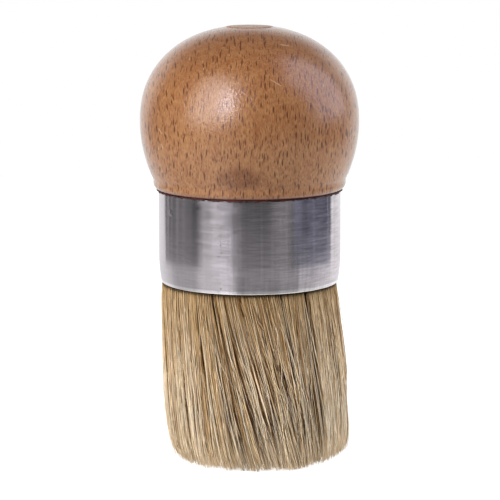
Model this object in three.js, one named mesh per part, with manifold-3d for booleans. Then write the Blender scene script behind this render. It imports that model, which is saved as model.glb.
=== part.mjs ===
// Round stencil brush with a ball grip: a turned beech knob, a polished steel
// ferrule and a flat-cut tuft of natural bristle cast in resin.
// Millimetres, +Z up. The bristle tips stand on z = 0 and the ferrule's axis is the Z axis.
import * as THREE from "three";
import { mergeVertices } from "three/addons/utils/BufferGeometryUtils.js";
import Module from "manifold-3d";

const wasm = await Module();
wasm.setup();

// Fits shared by every piece
const clearance = 0.3; // between two pieces that touch on the real brush
const cutOverrun = 1; // how far a cutting tool runs past the face that it enters
const roundFacets = 60; // facets round the knob and the ferrule
const smallFacets = 16; // facets round a pin and its hole
const crownSteps = 14; // steps along the crown's outline
const bowlSteps = 8; // steps along the bowl's outline
const cornerSteps = 5; // steps along a small rounding of a profile

// Ferrule: a tube of steel strip whose mouth is rolled inwards over the bristles
const ferruleDiameter = 50;
const ferruleWall = 0.5;
const ferruleLength = 25.4;
const mouthRollIn = 1.1; // how far the rolled mouth comes in from the tube's outside
const mouthRollHeight = 3;
const rimRounding = 0.15; // on both corners of the top rim

// Knob: a foot that overhangs the ferrule, a bowl, a girth and a flattened crown
const knobDiameter = 59.9;
const footDiameter = 52.8;
const footRounding = 1.9;
const footBandHeight = 0.9;
const girthHeight = 18.6; // of the widest point over the underside of the foot
const crownHeight = 26.3; // from the girth to the crown's own apex
const crownRoundness = 2.2; // exponent of the crown's superellipse, 2 for a plain ellipse
const spigotLength = 9.6;
const spigotChamfer = 0.8;

// Plug: closes the bore in the crown, and stands a little proud of it
const plugDiameter = 12.6;
const plugDepth = 6;
const plugProud = 0.25;
const plugChamfer = 0.2;

// Pins: driven through the ferrule into the spigot from opposite sides
const pinCount = 2;
const pinShankDiameter = 1;
const pinLength = 7;
const pinHeadDiameter = 1.8;
const pinHeadHeight = 0.45;
const pinBelowRim = 4.7;
const pinHoleClearance = 0.2; // around the shank
const firstPinBearing = THREE.MathUtils.degToRad(211); // from +X, anticlockwise seen from above

// Resin setting: holds the butt ends of the bristles
const settingDepth = 6;

// Tuft: rings of strands, fine at the rim and coarser towards the middle, cast in quarters
const quarters = 4;
const tuftOutLength = 48.6; // from the ferrule's mouth to the flat of the tips
const sliceThickness = 1.6;
const rimStrandWidth = 1.4;
const strandGap = 0.34;
const strandGrowth = 1.13; // width of a ring's strands over that of the ring outside it
const tipTaper = 0.8; // width at the tip over width at the butt
const bellyHeightShare = 0.36; // of the tuft's length, up from the tips, where it is widest
const bellyGrowth = 1.6; // how much further out the rim strands are there than at the mouth
const tipGrowth = 0.9; // the same at the tips
const tipLean = 2.4; // the tuft leans to +X, by this much at the tips
const tipTwist = THREE.MathUtils.degToRad(20); // of the tips about +Z against the butts
const rimLift = 1.5; // the cut rises by this much at the rim
const rimLiftSharpness = 8; // power of the radius by which it rises
const tipScatter = 0.9; // the longest strand's tip lies this far below the shortest's
const flushTrim = 0.5; // what the standing face trims off the longest strands

// Heights, from the tips up
const mouthZ = tuftOutLength;
const ferruleTopZ = mouthZ + ferruleLength;
const footZ = ferruleTopZ + clearance;
const settingTopZ = footZ - spigotLength - clearance;
const sliceTopZ = settingTopZ - settingDepth - clearance;
const sliceBottomZ = sliceTopZ - sliceThickness;
const girthZ = footZ + girthHeight;

// Radii
const ferruleRadius = ferruleDiameter / 2;
const boreRadius = ferruleRadius - ferruleWall;
const mouthRadius = ferruleRadius - mouthRollIn;
const spigotRadius = boreRadius - clearance;
const knobRadius = knobDiameter / 2;
const footRadius = footDiameter / 2;
const plugRadius = plugDiameter / 2;
const pinHoleRadius = pinShankDiameter / 2 + pinHoleClearance;
const pinZ = ferruleTopZ - pinBelowRim;

// Materials
const lacqueredBeech = new THREE.MeshStandardMaterial({ color: 0xb07c52, roughness: 0.3, metalness: 0 });
const beechEndGrain = new THREE.MeshStandardMaterial({ color: 0xa87350, roughness: 0.4, metalness: 0 });
const polishedSteel = new THREE.MeshStandardMaterial({ color: 0xb9b6ba, roughness: 0.25, metalness: 1 });
const pinSteel = new THREE.MeshStandardMaterial({ color: 0xa8a6a6, roughness: 0.35, metalness: 1 });
const castResin = new THREE.MeshStandardMaterial({ color: 0xb88a4a, roughness: 0.35, metalness: 0 });
const hogBristle = new THREE.MeshStandardMaterial({ color: 0xc0a57c, roughness: 0.6, metalness: 0 });

// A closed geometry as a solid that can be cut and joined.
function solidOf(geometry) {
  const bare = new THREE.BufferGeometry();
  bare.setAttribute("position", geometry.getAttribute("position").clone());
  if (geometry.index) bare.setIndex(geometry.index.clone());
  const merged = mergeVertices(bare);
  return new wasm.Manifold(
    new wasm.Mesh({
      numProp: 3,
      vertProperties: merged.getAttribute("position").array,
      triVerts: new Uint32Array(merged.index.array),
    }),
  );
}

// A solid back as a geometry, flat shaded.
function geometryOf(solid) {
  const mesh = solid.getMesh();
  const geometry = new THREE.BufferGeometry();
  geometry.setAttribute("position", new THREE.BufferAttribute(mesh.vertProperties, mesh.numProp));
  geometry.setIndex(new THREE.BufferAttribute(mesh.triVerts, 1));
  const faceted = geometry.toNonIndexed();
  faceted.computeVertexNormals();
  return faceted;
}

// A profile of [radius, height] points, revolved about the Z axis.
function turned(profile, facets) {
  const points = profile.map(([radius, height]) => new THREE.Vector2(radius, height));
  return new THREE.LatheGeometry(points, facets).rotateX(Math.PI / 2);
}

// Points of an elliptical arc in [radius, height], with both ends.
function arc(centreRadius, centreHeight, acrossRadius, alongHeight, from, to, steps) {
  return Array.from({ length: steps + 1 }, (_, step) => {
    const angle = from + ((to - from) * step) / steps;
    return [centreRadius + acrossRadius * Math.cos(angle), centreHeight + alongHeight * Math.sin(angle)];
  });
}

// A cylinder whose axis runs outwards along +X from the Z axis, turned to a bearing at a height.
function radialRod(radius, innerEnd, outerEnd, bearing, height) {
  return new THREE.CylinderGeometry(radius, radius, outerEnd - innerEnd, smallFacets)
    .rotateZ(-Math.PI / 2)
    .translate((innerEnd + outerEnd) / 2, 0, height)
    .rotateZ(bearing);
}

function pinBearing(number) {
  return firstPinBearing + (2 * Math.PI * number) / pinCount;
}

// Height of the knob's crown over the girth at a radius: a superellipse.
function crownAt(radius) {
  return crownHeight * (1 - (radius / knobRadius) ** crownRoundness) ** (1 / crownRoundness);
}

// The crown's outline from the girth up to the edge of the plug's bore.
function crownOutline(edgeRadius) {
  const edgeAngle = Math.acos((edgeRadius / knobRadius) ** (crownRoundness / 2));
  return Array.from({ length: crownSteps }, (_, step) => {
    const radius = knobRadius * Math.cos((edgeAngle * (step + 1)) / crownSteps) ** (2 / crownRoundness);
    return [radius, girthZ + crownAt(radius)];
  });
}

// The bowl's outline from the top of the foot's band up to the girth: a parabola, upright at the girth.
function bowlOutline(bandTopZ) {
  return Array.from({ length: bowlSteps + 1 }, (_, step) => {
    const share = step / bowlSteps;
    return [
      knobRadius - (knobRadius - footRadius) * (1 - share) ** 2,
      bandTopZ + (girthZ - bandTopZ) * share,
    ];
  });
}

// The plug sits in the crown's bore on a clearance, and its bore takes the same values.
const plugFaceZ = girthZ + crownAt(plugRadius) + plugProud;
const plugFootZ = plugFaceZ - plugDepth;

function handleKnob() {
  const plugBoreRadius = plugRadius + clearance;
  const profile = [
    [0, footZ - spigotLength],
    [spigotRadius - spigotChamfer, footZ - spigotLength],
    [spigotRadius, footZ - spigotLength + spigotChamfer],
    [spigotRadius, footZ],
    ...arc(footRadius - footRounding, footZ + footRounding, footRounding, footRounding, -Math.PI / 2, 0, cornerSteps),
    ...bowlOutline(footZ + footRounding + footBandHeight),
    ...crownOutline(plugBoreRadius),
    [plugBoreRadius, plugFootZ - clearance],
    [0, plugFootZ - clearance],
  ];
  let knob = solidOf(turned(profile, roundFacets));
  for (let number = 0; number < pinCount; number++) {
    const innerEnd = ferruleRadius - pinLength - clearance;
    knob = knob.subtract(
      solidOf(radialRod(pinHoleRadius, innerEnd, spigotRadius + cutOverrun, pinBearing(number), pinZ)),
    );
  }
  return geometryOf(knob);
}

function topPlug() {
  return turned(
    [
      [0, plugFootZ],
      [plugRadius - plugChamfer, plugFootZ],
      [plugRadius, plugFootZ + plugChamfer],
      [plugRadius, plugFaceZ - plugChamfer],
      [plugRadius - plugChamfer, plugFaceZ],
      [0, plugFaceZ],
    ],
    roundFacets,
  );
}

function ferrule() {
  const outerRoll = arc(
    mouthRadius, mouthZ + mouthRollHeight, mouthRollIn, mouthRollHeight, -Math.PI / 2, 0, cornerSteps,
  );
  const innerRoll = arc(
    mouthRadius, mouthZ + mouthRollHeight,
    mouthRollIn - ferruleWall, mouthRollHeight - ferruleWall, 0, -Math.PI / 2, cornerSteps,
  );
  const profile = [
    ...outerRoll,
    [ferruleRadius, ferruleTopZ - rimRounding],
    [ferruleRadius - rimRounding, ferruleTopZ],
    [boreRadius + rimRounding, ferruleTopZ],
    [boreRadius, ferruleTopZ - rimRounding],
    ...innerRoll,
    outerRoll[0],
  ];
  let tube = solidOf(turned(profile, roundFacets));
  for (let number = 0; number < pinCount; number++) {
    const hole = radialRod(
      pinHoleRadius, boreRadius - cutOverrun, ferruleRadius + cutOverrun, pinBearing(number), pinZ,
    );
    tube = tube.subtract(solidOf(hole));
  }
  return geometryOf(tube);
}

// A pin points outwards along +X before it is turned to its bearing: point, shank, domed head.
function ferrulePin(number) {
  const headSeat = ferruleRadius + clearance / 2;
  const tip = ferruleRadius - pinLength;
  const shankRadius = pinShankDiameter / 2;
  const dome = arc(0, headSeat, pinHeadDiameter / 2, pinHeadHeight, 0, Math.PI / 2, cornerSteps);
  const profile = [
    [0, tip],
    [shankRadius, tip + pinShankDiameter],
    [shankRadius, headSeat],
    ...dome,
  ];
  return turned(profile, smallFacets).rotateY(Math.PI / 2).rotateZ(pinBearing(number)).translate(0, 0, pinZ);
}

function resinSetting() {
  const radius = boreRadius - clearance;
  const height = settingDepth;
  return new THREE.CylinderGeometry(radius, radius, height, roundFacets)
    .rotateX(Math.PI / 2)
    .translate(0, 0, settingTopZ - height / 2);
}

// A strand's section is an equal-sided triangle of its width, and this deep along the radius.
function strandDepth(width) {
  return (width * Math.sqrt(3)) / 2;
}

// Rings of strands from the rim inwards, each with a whole number of strands in a quarter.
function strandRings() {
  const rings = [];
  let width = rimStrandWidth;
  let outerRadius = mouthRadius - clearance;
  while (outerRadius > strandDepth(width) + strandGap) {
    const radius = outerRadius - strandDepth(width) / 2;
    const around = (2 * Math.PI * radius) / quarters;
    rings.push({ radius, width, inAQuarter: Math.max(1, Math.floor(around / (width + strandGap))) });
    outerRadius -= strandDepth(width) + strandGap;
    width *= strandGrowth;
  }
  return rings;
}

// Where a strand's middle lies at a station of the tuft, from its place at the butt.
// All strands share this map, which widens, turns and shifts the tuft, so that none crosses another.
function stationPoint(radius, bearing, station) {
  const spread = 1 + station.growth / mouthRadius;
  const turn = bearing + station.twist;
  return [radius * spread * Math.cos(turn) + station.lean, radius * spread * Math.sin(turn)];
}

// Height at which a strand ends: the cut's rounded rim, each strand's own length and the flush trim.
const goldenShare = (Math.sqrt(5) - 1) / 2;
function tipHeight(radius, order) {
  const rim = rimLift * (radius / mouthRadius) ** rimLiftSharpness;
  const own = tipScatter * ((order * goldenShare) % 1);
  return Math.max(0, rim + own - flushTrim);
}

// The three-sided sections of one strand, from its butt in the slice down to its tip.
// Neighbours point outwards and inwards by turns.
function strandSections(ring, bearing, order) {
  const bellyShare = 1 - bellyHeightShare;
  const stations = [
    { z: sliceBottomZ + sliceThickness / 2, growth: 0, twist: 0, lean: 0, share: 1 },
    { z: mouthZ, growth: 0, twist: 0, lean: 0, share: 1 },
    {
      z: mouthZ * bellyHeightShare,
      growth: bellyGrowth,
      twist: tipTwist * bellyShare,
      lean: tipLean * bellyShare,
      share: 1,
    },
    { z: tipHeight(ring.radius, order), growth: tipGrowth, twist: tipTwist, lean: tipLean, share: tipTaper },
  ];
  return stations.map((station) => {
    const [x, y] = stationPoint(ring.radius, bearing, station);
    const outwards = [Math.cos(bearing + station.twist), Math.sin(bearing + station.twist)];
    const way = order % 2 ? -1 : 1;
    const halfWidth = (way * ring.width * station.share) / 2;
    const halfDepth = (way * strandDepth(ring.width) * station.share) / 2;
    const corners = [
      [halfDepth, 0],
      [-halfDepth, halfWidth],
      [-halfDepth, -halfWidth],
    ];
    return corners.map(([out, along]) => [
      x + out * outwards[0] - along * outwards[1],
      y + out * outwards[1] + along * outwards[0],
      station.z,
    ]);
  });
}

// A closed three-sided tube through its sections, which run downwards.
function strandTriangles(sections, positions) {
  const push = (...corners) => corners.forEach((corner) => positions.push(...corner));
  const [butt, tip] = [sections[0], sections[sections.length - 1]];
  push(butt[0], butt[1], butt[2]);
  push(tip[0], tip[2], tip[1]);
  for (let level = 0; level + 1 < sections.length; level++) {
    const [upper, lower] = [sections[level], sections[level + 1]];
    for (let side = 0; side < 3; side++) {
      const next = (side + 1) % 3;
      push(upper[side], lower[side], lower[next]);
      push(upper[side], lower[next], upper[next]);
    }
  }
}

// A quarter of the resin's lower skin, which the strands of that quarter are cast in.
function backingSlice(quarter) {
  const radius = boreRadius - clearance;
  const inset = clearance / 2;
  const reach = Math.asin(inset / radius);
  const outline = new THREE.Shape();
  outline.moveTo(inset, inset);
  outline.lineTo(radius * Math.cos(reach), inset);
  outline.absarc(0, 0, radius, reach, Math.PI / 2 - reach, false);
  outline.closePath();
  return new THREE.ExtrudeGeometry(outline, {
    depth: sliceThickness,
    bevelEnabled: false,
    curveSegments: roundFacets / quarters,
  })
    .translate(0, 0, sliceBottomZ)
    .rotateZ((2 * Math.PI * quarter) / quarters);
}

function tuftQuarter(quarter) {
  const positions = [];
  let order = 0;
  for (const ring of strandRings()) {
    const pitch = (2 * Math.PI) / (quarters * ring.inAQuarter);
    for (let place = 0; place < ring.inAQuarter; place++) {
      const bearing = pitch * (quarter * ring.inAQuarter + place + 1 / 2);
      strandTriangles(strandSections(ring, bearing, order), positions);
      order++;
    }
  }
  const strands = new THREE.BufferGeometry();
  strands.setAttribute("position", new THREE.Float32BufferAttribute(positions, 3));
  return geometryOf(solidOf(strands).add(solidOf(backingSlice(quarter))));
}

const brush = new THREE.Group();

function addPiece(name, geometry, material) {
  const mesh = new THREE.Mesh(geometry, material);
  mesh.name = name;
  brush.add(mesh);
}

addPiece("handle_knob", handleKnob(), lacqueredBeech);
addPiece("top_plug", topPlug(), beechEndGrain);
addPiece("ferrule", ferrule(), polishedSteel);
for (let number = 0; number < pinCount; number++) {
  addPiece(`ferrule_pin_${number + 1}`, ferrulePin(number), pinSteel);
}
addPiece("resin_setting", resinSetting(), castResin);
for (let quarter = 0; quarter < quarters; quarter++) {
  addPiece(`bristle_tuft_${quarter + 1}`, tuftQuarter(quarter), hogBristle);
}

export default brush;
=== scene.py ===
"""Round stencil brush with a ball grip: lacquered beech, polished steel and hog bristle.

Metres, +Z up. The bristle tips stand on z = 0 and the ferrule's axis is the Z axis.
"""

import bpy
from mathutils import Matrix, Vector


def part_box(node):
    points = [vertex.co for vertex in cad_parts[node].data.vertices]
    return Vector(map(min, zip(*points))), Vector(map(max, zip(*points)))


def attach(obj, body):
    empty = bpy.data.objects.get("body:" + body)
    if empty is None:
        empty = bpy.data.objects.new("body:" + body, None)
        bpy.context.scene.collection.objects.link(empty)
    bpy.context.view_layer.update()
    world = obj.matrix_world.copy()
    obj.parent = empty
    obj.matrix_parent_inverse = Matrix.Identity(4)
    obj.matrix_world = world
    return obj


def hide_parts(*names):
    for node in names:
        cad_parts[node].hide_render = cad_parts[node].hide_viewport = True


bl_info = {
    "name": "Round stencil brush",
    "version": (1, 0, 0),
    "blender": (4, 5, 0),
    "location": "View3D > Sidebar > Stencil brush",
    "description": "Builds a round stencil brush around its packed frame",
    "category": "Add Mesh",
}

import bpy
import numpy as np
from bpy.props import FloatProperty, FloatVectorProperty, IntProperty, PointerProperty
from mathutils import Matrix, Vector

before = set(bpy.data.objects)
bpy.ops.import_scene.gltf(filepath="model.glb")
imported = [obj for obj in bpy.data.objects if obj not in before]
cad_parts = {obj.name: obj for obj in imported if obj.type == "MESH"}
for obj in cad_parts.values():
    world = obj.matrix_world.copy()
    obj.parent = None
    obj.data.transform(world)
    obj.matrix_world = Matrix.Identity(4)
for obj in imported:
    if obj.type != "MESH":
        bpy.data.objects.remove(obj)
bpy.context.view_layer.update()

MM = 0.001
TURN = 2 * np.pi
GOLDEN_SHARE = (np.sqrt(5) - 1) / 2
BAKE_MAP = "OFBake"  # the one UV map of a piece, also for its materials

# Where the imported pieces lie
FERRULE_LOW, FERRULE_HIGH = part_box("ferrule")
KNOB_LOW, KNOB_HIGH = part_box("handle_knob")
PLUG_LOW, PLUG_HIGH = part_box("top_plug")
SETTING_LOW, SETTING_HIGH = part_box("resin_setting")
TUFT_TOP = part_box("bristle_tuft_1")[1].z
MOUTH_HEIGHT = FERRULE_LOW.z
RIM_HEIGHT = FERRULE_HIGH.z
FERRULE_RADIUS = FERRULE_HIGH.x
KNOB_RADIUS = KNOB_HIGH.x
PLUG_RADIUS = PLUG_HIGH.x
CLEARANCE = 0.3 * MM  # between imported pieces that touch


def linear(hex_colour):
    """An sRGB colour such as "B07C52" as linear red, green and blue."""
    channels = np.array([int(hex_colour[at : at + 2], 16) for at in (0, 2, 4)]) / 255
    curved = ((channels + 0.055) / 1.055) ** 2.4
    return tuple(float(value) for value in np.where(channels > 0.04045, curved, channels / 12.92))


def length(name, description, default):
    """A length property in metres."""
    return FloatProperty(
        name=name, description=description, default=default, min=0, subtype="DISTANCE", unit="LENGTH"
    )


def angle(name, description, degrees):
    """An angle property, given in degrees."""
    radians = float(np.radians(degrees))
    return FloatProperty(
        name=name, description=description, default=radians, subtype="ANGLE", unit="ROTATION"
    )


def colour(name, description, hex_colour):
    """A colour property, given in sRGB."""
    return FloatVectorProperty(
        name=name, description=description, default=linear(hex_colour), size=3, min=0, max=1, subtype="COLOR"
    )


def count(name, description, default):
    """A whole-number property."""
    return IntProperty(name=name, description=description, default=default, min=1)


class BrushKnobSettings(bpy.types.PropertyGroup):
    """The turned beech grip."""

    foot_radius: length("Foot radius", "Radius of the foot that overhangs the ferrule", 26.4 * MM)
    foot_rounding: length("Foot rounding", "Radius of the foot's lower edge", 1.9 * MM)
    foot_band: length("Foot band", "Height of the upright band over the rounding", 0.9 * MM)
    girth_height: length("Girth height", "Height of the widest point over the foot", 18.6 * MM)
    crown_roundness: FloatProperty(
        name="Crown roundness", description="Exponent of the crown's superellipse", default=2.2, min=2, max=4
    )
    seat_gap: length("Seat gap", "Gap between the foot and the ferrule's rim", 0.3 * MM)
    spigot_radius: length("Spigot radius", "Radius of the part inside the ferrule", 24.2 * MM)
    spigot_chamfer: length("Spigot chamfer", "Chamfer of the spigot's lower edge", 0.8 * MM)
    plug_gap: length("Plug gap", "Gap round the plug", 0.12 * MM)
    facets: count("Facets", "Facets round the turned pieces", 288)
    beech_light: colour("Beech, light", "Pale wood between the growth rings", "A97A4E")
    beech_dark: colour("Beech, dark", "Wood of the growth rings and the crown", "85502A")
    beech_ray: colour("Beech, rays", "What the ray flecks leave of the wood's colour", "94701E")


class BrushFerruleSettings(bpy.types.PropertyGroup):
    """The steel ferrule and its pins."""

    wall: length("Wall", "Thickness of the steel strip", 0.5 * MM)
    sweep_height: length("Sweep height", "Height over which the tube curves in towards the mouth", 8 * MM)
    sweep_in: length("Sweep", "How far the tube curves in before the bead", 0.6 * MM)
    bead: length("Bead", "Radius of the rolled bead at the mouth", 0.65 * MM)
    rim_rounding: length("Rim rounding", "Rounding of both corners of the rim", 0.06 * MM)
    seam_bearing: angle("Seam bearing", "Bearing of the weld from +X", 251.5)
    seam_rise: length("Seam rise", "How far the weld stands proud", 0.05 * MM)
    seam_width: length("Seam width", "Half width of the weld", 0.35 * MM)
    wall_ripple: length("Wall ripple", "Depth of the tube's slight dents", 0.02 * MM)
    pin_head_radius: length("Pin head radius", "Radius of a pin's domed head", 0.9 * MM)
    pin_head_height: length("Pin head height", "Height of a pin's domed head", 0.12 * MM)
    steel: colour("Steel", "Polished stainless strip", "D2CBD1")


class BrushTuftSettings(bpy.types.PropertyGroup):
    """The hog bristle tuft."""

    outer_hairs: count("Outer hairs", "Fine hairs in the tuft's skin", 11500)
    inner_hairs: count("Inner hairs", "Coarser hairs in the tuft's core", 3000)
    skin_depth: length("Skin depth", "Depth of the fine hairs at the mouth", 5.5 * MM)
    hair_radius: length("Hair radius", "Radius of a fine hair", 0.138 * MM)
    core_hair_radius: length("Core hair radius", "Radius of a core hair", 0.34 * MM)
    lean: length("Lean", "How far the tips lean to +X", 2.7 * MM)
    belly: length("Belly", "How far the tuft swells past the mouth", 1.4 * MM)
    stray_hairs: count("Stray hairs", "Loose fine hairs over the tuft's skin", 620)
    stray_reach: length("Stray reach", "How far a stray hair wanders at its tip", 2.2 * MM)


# Meshes from arrays


def arc(centre, across, along, start, end, steps):
    """Points of an elliptical arc about a [radius, height] centre, with both ends."""
    turn = np.linspace(start, end, steps + 1)
    return np.stack([centre[0] + across * np.cos(turn), centre[1] + along * np.sin(turn)], 1)


def line(start, end, steps):
    """Points along a straight stretch of a profile, without its end."""
    step = np.linspace(0, 1, steps, endpoint=False)[:, None]
    return np.array(start) + (np.array(end) - np.array(start)) * step


def turned(profile, bearings):
    """A [radius, height] profile carried round the Z axis: rows follow it, columns the bearings."""
    radius, height = np.array(profile).T[:, :, None]
    upright = np.broadcast_to(height, (len(profile), len(bearings)))
    return np.stack([radius * np.cos(bearings), radius * np.sin(bearings), upright], -1)


def signed_volume(points, faces):
    """Six times the volume that the faces enclose, which is positive when they point outwards."""
    first, second = points[faces[:, 0]], points[faces[:, 1]]
    third, last = points[faces[:, 2]], points[faces[:, 3]]
    halves = np.cross(second, third) + np.cross(third, last)
    return float((first * halves).sum())


def grid_faces(rows, columns, closed_along=False):
    """Quads of a grid that closes across its columns, and along its rows if asked."""
    turns = rows if closed_along else rows - 1
    row, column = np.meshgrid(np.arange(turns), np.arange(columns), indexing="ij")
    above, beside = (row + 1) % rows, (column + 1) % columns
    corners = [(row, column), (row, beside), (above, beside), (above, column)]
    return np.stack([(at * columns + across).ravel() for at, across in corners], 1)


def corner_uvs(*corners):
    """The UVs of many faces, from the (across, along) arrays of each of their four corners."""
    return np.stack([np.stack(corner, 1) for corner in corners], 1)


def add_mesh(name, points, faces, uv):
    """An object from points, faces of three or four corners (a triangle repeats its last) and corner UVs."""
    if signed_volume(points, faces) < 0:
        faces, uv = faces[:, ::-1], uv[:, ::-1]
    kept = np.ones(faces.shape, bool)
    kept[:, 1:] = faces[:, 1:] != faces[:, :-1]
    sizes = kept.sum(1)
    mesh = bpy.data.meshes.new(name)
    mesh.vertices.add(len(points))
    mesh.vertices.foreach_set("co", points.astype(np.float32).ravel())
    mesh.loops.add(int(sizes.sum()))
    mesh.loops.foreach_set("vertex_index", faces[kept].astype(np.int32))
    mesh.polygons.add(len(faces))
    mesh.polygons.foreach_set("loop_start", np.concatenate([[0], np.cumsum(sizes)[:-1]]).astype(np.int32))
    layer = mesh.uv_layers.new(name=BAKE_MAP)
    layer.uv.foreach_set("vector", uv[kept].astype(np.float32).ravel())
    mesh.update(calc_edges=True)
    mesh.validate()
    piece = bpy.data.objects.new(name, mesh)
    bpy.context.scene.collection.objects.link(piece)
    return piece


def add_turned(name, profile, facets=None, bearings=None, reshape=None, sharp_degrees=28):
    """A turned piece. Its profile starts and ends on the axis, or closes on itself.

    reshape moves the grid of points before it becomes a mesh. The UVs run round and along it.
    """
    profile = np.array(profile, float)
    if bearings is None:
        bearings = np.linspace(0, TURN, facets, endpoint=False)
    poles = profile[0, 0] == 0
    body = profile[1:-1] if poles else profile[:-1]
    grid = turned(body, bearings)
    if reshape:
        grid = reshape(grid, bearings)
    rows, columns = grid.shape[:2]
    faces = grid_faces(rows, columns, closed_along=not poles)
    around = np.concatenate([bearings, [bearings[0] + TURN]]) / TURN
    walked = np.concatenate([[0], np.cumsum(np.hypot(*np.diff(profile, axis=0).T))])
    along = walked / walked[-1]
    low_row = faces[:, 0] // columns
    column = faces[:, 0] % columns
    offset = 1 if poles else 0
    low, high = along[low_row + offset], along[low_row + offset + 1]
    left, right = around[column], around[column + 1]
    uv = corner_uvs((left, low), (right, low), (right, high), (left, high))
    points = grid.reshape(-1, 3)
    if poles:
        ends = np.array([[0, 0, profile[0, 1]], [0, 0, profile[-1, 1]]])
        count_before = len(points)
        points = np.concatenate([points, ends])
        ring = np.arange(columns)
        beside = (ring + 1) % columns
        last = (rows - 1) * columns
        foot = np.full(columns, count_before)
        head = foot + 1
        faces = np.concatenate([
            faces,
            np.stack([foot, beside, ring, ring], 1),
            np.stack([head, last + ring, last + beside, last + beside], 1),
        ])
        left, right = around[:-1], around[1:]
        middle = (left + right) / 2
        low, high = np.full(columns, along[1]), np.full(columns, along[-2])
        foot_uv = corner_uvs((middle, low * 0), (right, low), (left, low), (left, low))
        head_uv = corner_uvs((middle, high * 0 + 1), (left, high), (right, high), (right, high))
        uv = np.concatenate([uv, foot_uv, head_uv])
    piece = add_mesh(name, points, faces, uv)
    piece.data.shade_smooth()
    piece.data.set_sharp_from_angle(angle=np.radians(sharp_degrees))
    return piece


def finish_piece(piece, material, slot, *nodes):
    """Puts a piece's material on it, and ties it to the frame."""
    piece.data.materials.clear()
    piece.data.materials.append(material)
    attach(piece, "root")
    if nodes:
        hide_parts(*nodes)
    return piece


# Materials


# What the word after a kind's dot sets
MODES = {"Math": "operation", "VectorMath": "operation", "Mix": "data_type", "MapRange": "interpolation_type"}


def adder(tree):
    """Empties a node tree, and gives the function that adds nodes to it."""
    tree.nodes.clear()

    def add(kind, *inputs, out=0, **settings):
        """Adds a shader node and gives one of its outputs, or the node itself where out is None.

        Inputs fill its sockets in order, and settings its named sockets or its own properties. Another
        node's output is linked.
        """
        kind, _, mode = kind.partition(".")
        node = tree.nodes.new("ShaderNode" + kind)
        if mode:
            setattr(node, MODES[kind], mode)
        filled = []
        for name, value in settings.items():
            socket = node.inputs.get(name.replace("_", " "))
            if socket:
                filled.append((socket, value))
            else:
                setattr(node, name, value)
        used = [socket for socket in node.inputs if socket.enabled]
        for socket, value in [*zip(used, inputs), *filled]:
            if isinstance(value, bpy.types.NodeSocket):
                tree.links.new(value, socket)
            else:
                socket.default_value = value
        if out is None:
            return node
        if out:
            return node.outputs[out]
        return next((socket for socket in node.outputs if socket.enabled), None)

    return add


def new_material(name):
    """A material with an empty node tree, and the function that adds its nodes."""
    material = bpy.data.materials.new(name)
    material.use_nodes = True
    return material, adder(material.node_tree)


def rgba(values):
    """Red, green and blue with an alpha of 1."""
    return (*tuple(values)[:3], 1)


def ramp_colours(node, *stops):
    """Sets a colour ramp's stops, given as (place, sRGB colour), and gives its colour."""
    ramp = node.color_ramp
    while len(ramp.elements) > 1:
        ramp.elements.remove(ramp.elements[-1])
    for number, (place, hex_colour) in enumerate(stops):
        element = ramp.elements[0] if number == 0 else ramp.elements.new(place)
        element.position = place
        element.color = rgba(linear(hex_colour))
    return node.outputs[0]


def window(add, value, low, high, soft):
    """1 between two values and 0 outside them, with soft edges."""
    rise = add("MapRange.SMOOTHSTEP", value, low - soft, low + soft, 0, 1)
    fall = add("MapRange.SMOOTHSTEP", value, high - soft, high + soft, 1, 0)
    return add("Math.MULTIPLY", rise, fall)


def turn_degrees(add, east, north):
    """The turn of a direction or a place from the camera's side towards +X, in degrees."""
    towards = add("Math.MULTIPLY", north, -1)
    turn = add("Math.ARCTAN2", east, towards)
    return add("Math.DEGREES", turn)


def lens_flecks(add, place, cell, half, kept_share):
    """A mask of short upright lenses, one at most in each Voronoi cell.

    place is in millimetres. A fleck is where |dx| / half width + (dz / half height)^2 + (dy / half depth)^2
    is under 1, about its cell's point.
    """
    scaled = add("VectorMath.DIVIDE", place, cell)
    cells = add("TexVoronoi", scaled, out=None, Scale=1, Randomness=1)
    away = add("VectorMath.SUBTRACT", scaled, cells.outputs["Position"])
    span = tuple(half[axis] / cell[axis] for axis in range(3))
    away = add("VectorMath.DIVIDE", away, span)
    away = add("SeparateXYZ", away, out=None)
    across = add("Math.ABSOLUTE", away.outputs["X"])
    deep = add("Math.MULTIPLY", away.outputs["Y"], away.outputs["Y"])
    tall = add("Math.MULTIPLY", away.outputs["Z"], away.outputs["Z"])
    total = add("Math.ADD", across, deep)
    total = add("Math.ADD", total, tall)
    shape = add("MapRange.SMOOTHSTEP", total, 1.05, 0.55, 0, 1)
    chance = add("SeparateXYZ", cells.outputs["Color"], out=None)
    kept = add("MapRange", chance.outputs["X"], 1 - kept_share, 1.3 - kept_share, 0, 1)
    return add("Math.MULTIPLY", shape, kept)


# Hair-thin scratches in the lacquer, each from one (east, height) to another, on the front, in millimetres
SCRATCHES = (
    ((5.6, 106.5), (8.3, 104.9)),
    ((-2.1, 103.6), (-1.2, 102.9)),
    ((8.4, 114.9), (10.5, 114.5)),
    ((-24.2, 92.7), (-23.3, 91.5)),
    ((-23.6, 88.6), (-23.1, 87.6)),
)


def scratch(add, front, start, end):
    """A mask of a straight scratch: how near a place is to the line between two (east, height) points."""
    (left, low), (right, high) = start, end
    run = Vector((right - left, 0, high - low))
    from_start = add("VectorMath.SUBTRACT", front, (left, 0, low))
    walked = add("VectorMath.DOT_PRODUCT", from_start, tuple(run / run.length_squared))
    walked = add("MapRange", walked, 0, 1, 0, 1)
    nearest = add("VectorMath.SCALE", tuple(run), walked)
    off = add("VectorMath.DISTANCE", from_start, nearest)
    return add("MapRange", off, 0.05, 0.16, 1, 0)


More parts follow.
